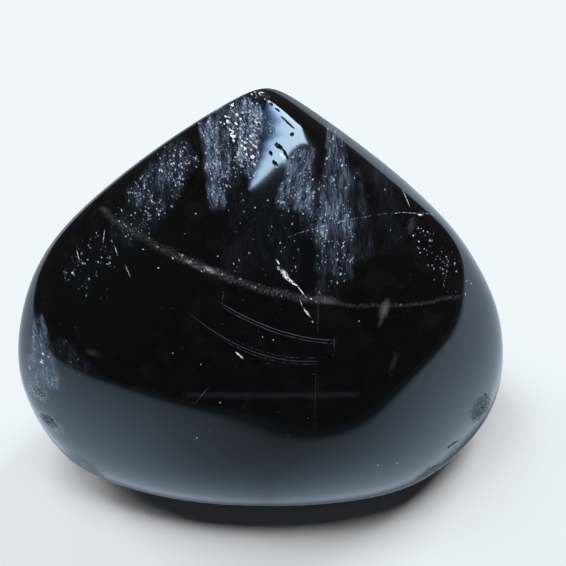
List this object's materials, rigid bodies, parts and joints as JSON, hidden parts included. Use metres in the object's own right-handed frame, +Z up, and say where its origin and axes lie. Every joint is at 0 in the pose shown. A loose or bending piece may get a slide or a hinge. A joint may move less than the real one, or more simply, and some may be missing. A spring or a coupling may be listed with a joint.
{
  "type": "polished morion quartz point",
  "caption": "Plump, leaning point of near-black smoky quartz, hand-polished all over to a gloss, with pale veils and fine cracks inside, resting on a small flat ground underneath.",
  "frame": {"origin": "under the middle of the stone's bounding box, on the surface it rests on", "axes": "+Z up; the broad front face looks along -Y and upward; the point leans back along +Y; +X to the right of the front face"},
  "size_m": [0.056, 0.0386, 0.0335],
  "materials": {
    "morion": "near-black smoky quartz, polished to a mirror gloss, opaque at this thickness, with bluish-white veils, a granular pale seam and hairline cracks"
  },
  "bodies": {
    "root": {"morion_point": "morion"}
  },
  "joints": []
}
